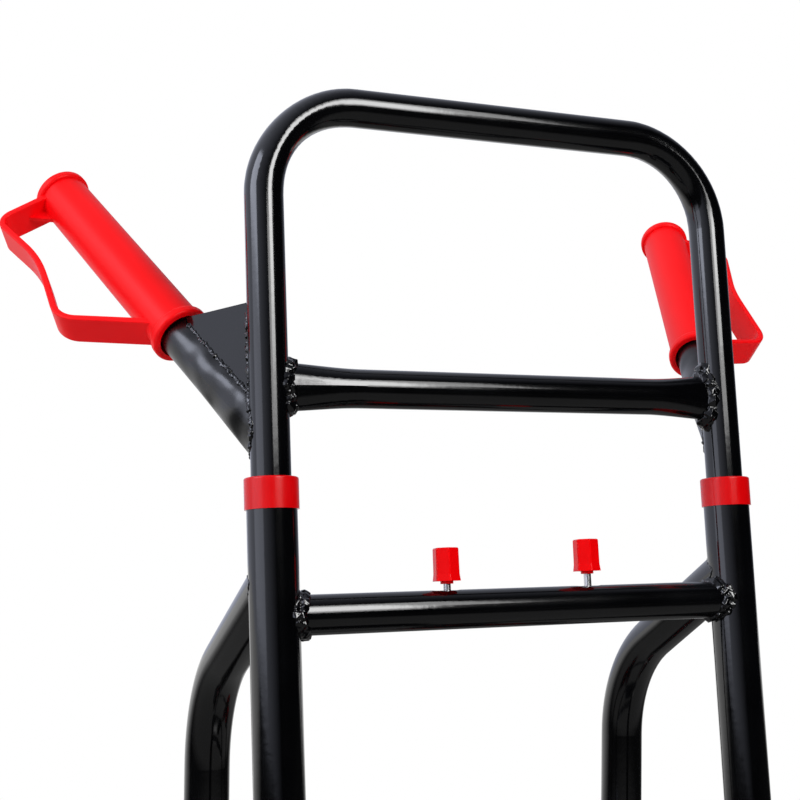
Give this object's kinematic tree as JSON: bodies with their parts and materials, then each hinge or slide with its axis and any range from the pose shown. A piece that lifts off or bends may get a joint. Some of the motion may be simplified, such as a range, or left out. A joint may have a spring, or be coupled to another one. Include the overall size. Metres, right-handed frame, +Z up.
{
  "type": "stair climbing hand truck",
  "caption": "Black steel tube hand truck with a sliding handle loop, red grips with knuckle guards, spring lock knobs, a toe plate and three-wheel star clusters for climbing stairs.",
  "frame": {"origin": "on the floor, at the middle of the toe plate's underside", "axes": "+X to the right seen from the load side, +Y to the rear where the user stands, +Z up"},
  "size_m": [0.621, 0.6542, 1.02],
  "materials": {
    "black_paint": "gloss black coating on steel tube and plate",
    "red_grip_plastic": "satin moulded red plastic",
    "red_gloss_plastic": "gloss moulded red plastic",
    "red_wheel_plastic": "moulded red plastic wheel centre",
    "tyre_rubber": "solid black rubber",
    "zinc_steel": "bright zinc plating",
    "black_plastic": "matt black plastic",
    "bearing_nylon": "natural nylon"
  },
  "bodies": {
    "frame": {"left_rail": "black_paint", "right_rail": "black_paint", "lock_crossbar": "black_paint", "middle_crossbar": "black_paint", "lower_crossbar": "black_paint", "left_collar": "red_gloss_plastic", "right_collar": "red_gloss_plastic", "rail_plugs": "black_plastic", "left_rear_tube": "black_paint", "right_rear_tube": "black_paint", "left_lower_strut": "black_paint", "right_lower_strut": "black_paint", "axle_tube": "black_paint", "axle": "zinc_steel", "axle_washers": "zinc_steel", "axle_nuts": "zinc_steel", "toe_plate": "black_paint", "toe_plate_bolts": "zinc_steel", "toe_plate_nuts": "zinc_steel", "lock_spring": "zinc_steel"},
    "handle": {"handle_loop": "black_paint", "handle_crossbar": "black_paint", "leg_glides": "black_plastic", "left_handle_stub": "black_paint", "right_handle_stub": "black_paint", "left_gusset": "black_paint", "right_gusset": "black_paint", "left_grip": "red_grip_plastic", "right_grip": "red_grip_plastic"},
    "left_lock": {"left_lock_pin": "zinc_steel", "left_knob_bolt": "zinc_steel", "left_knob": "red_gloss_plastic"},
    "left_star": {"left_star_inner_plate": "black_paint", "left_star_outer_plate": "black_paint", "left_star_hub": "black_paint", "left_star_bushes": "bearing_nylon", "left_wheel_bolts": "zinc_steel", "left_wheel_nuts": "zinc_steel"},
    "left_top_wheel": {"left_top_tyre": "tyre_rubber", "left_top_rim": "red_wheel_plastic"},
    "left_rear_wheel": {"left_rear_tyre": "tyre_rubber", "left_rear_rim": "red_wheel_plastic"},
    "left_front_wheel": {"left_front_tyre": "tyre_rubber", "left_front_rim": "red_wheel_plastic"},
    "right_lock": {"right_lock_pin": "zinc_steel", "right_knob_bolt": "zinc_steel", "right_knob": "red_gloss_plastic"},
    "right_star": {"right_star_inner_plate": "black_paint", "right_star_outer_plate": "black_paint", "right_star_hub": "black_paint", "right_star_bushes": "bearing_nylon", "right_wheel_bolts": "zinc_steel", "right_wheel_nuts": "zinc_steel"},
    "right_top_wheel": {"right_top_tyre": "tyre_rubber", "right_top_rim": "red_wheel_plastic"},
    "right_rear_wheel": {"right_rear_tyre": "tyre_rubber", "right_rear_rim": "red_wheel_plastic"},
    "right_front_wheel": {"right_front_tyre": "tyre_rubber", "right_front_rim": "red_wheel_plastic"}
  },
  "joints": [
    {"name": "handle_slide", "type": "slide", "parent": "frame", "child": "handle", "axis": [0, 0.0958, 0.9954], "range_m": [0, 0.25]},
    {"name": "left_lock_slide", "type": "slide", "parent": "frame", "child": "left_lock", "axis": [-1, 0, 0], "range_m": [-0.007, 0.008], "stiffness_N_per_m": 600, "springref_m": 0.012, "deforming": ["lock_spring"]},
    {"name": "right_lock_slide", "type": "slide", "parent": "frame", "child": "right_lock", "axis": [1, 0, 0], "range_m": [-0.007, 0.008], "stiffness_N_per_m": 600, "springref_m": 0.012},
    {"name": "left_star_spin", "type": "hinge", "parent": "frame", "child": "left_star", "pos_m": [-0.2299, 0.36147, 0.135], "axis": [1, 0, 0], "continuous": true},
    {"name": "left_top_wheel_spin", "type": "hinge", "parent": "left_star", "child": "left_top_wheel", "pos_m": [-0.2299, 0.36147, 0.245], "axis": [1, 0, 0], "continuous": true},
    {"name": "left_rear_wheel_spin", "type": "hinge", "parent": "left_star", "child": "left_rear_wheel", "pos_m": [-0.2299, 0.45674, 0.08], "axis": [1, 0, 0], "continuous": true},
    {"name": "left_front_wheel_spin", "type": "hinge", "parent": "left_star", "child": "left_front_wheel", "pos_m": [-0.2299, 0.26621, 0.08], "axis": [1, 0, 0], "continuous": true},
    {"name": "right_star_spin", "type": "hinge", "parent": "frame", "child": "right_star", "pos_m": [0.2299, 0.36147, 0.135], "axis": [1, 0, 0], "continuous": true},
    {"name": "right_top_wheel_spin", "type": "hinge", "parent": "right_star", "child": "right_top_wheel", "pos_m": [0.2299, 0.36147, 0.245], "axis": [1, 0, 0], "continuous": true},
    {"name": "right_rear_wheel_spin", "type": "hinge", "parent": "right_star", "child": "right_rear_wheel", "pos_m": [0.2299, 0.45674, 0.08], "axis": [1, 0, 0], "continuous": true},
    {"name": "right_front_wheel_spin", "type": "hinge", "parent": "right_star", "child": "right_front_wheel", "pos_m": [0.2299, 0.26621, 0.08], "axis": [1, 0, 0], "continuous": true}
  ]
}
